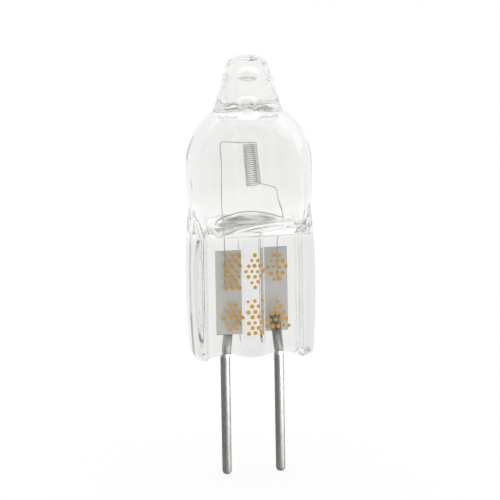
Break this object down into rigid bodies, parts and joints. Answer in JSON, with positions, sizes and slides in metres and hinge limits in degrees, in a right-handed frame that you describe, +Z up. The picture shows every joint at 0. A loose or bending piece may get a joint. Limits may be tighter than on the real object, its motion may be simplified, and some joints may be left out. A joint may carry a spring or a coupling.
{
  "type": "halogen capsule lamp",
  "caption": "Small clear quartz capsule lamp with a standing coiled filament, a ribbed flat press seal and straight base pins that plug into a bi-pin holder.",
  "frame": {"origin": "midway between the two pins, on the seat plane that touches the lowest points of the press seal", "axes": "+Z up the lamp from the pins to the exhaust nub; +X across the press seal from the left pin to the right pin; the printed face of the seal looks along -Y"},
  "size_m": [0.0092, 0.0092, 0.0311],
  "materials": {
    "quartz": "clear fire-polished quartz glass",
    "tungsten": "dull grey drawn tungsten wire",
    "foil": "satin molybdenum foil, warm grey",
    "pin_metal": "drawn molybdenum wire, semi-bright"
  },
  "bodies": {
    "root": {"quartz_envelope": "quartz", "filament": "tungsten", "left_foil": "foil", "right_foil": "foil", "left_pin": "pin_metal", "right_pin": "pin_metal"}
  },
  "joints": []
}
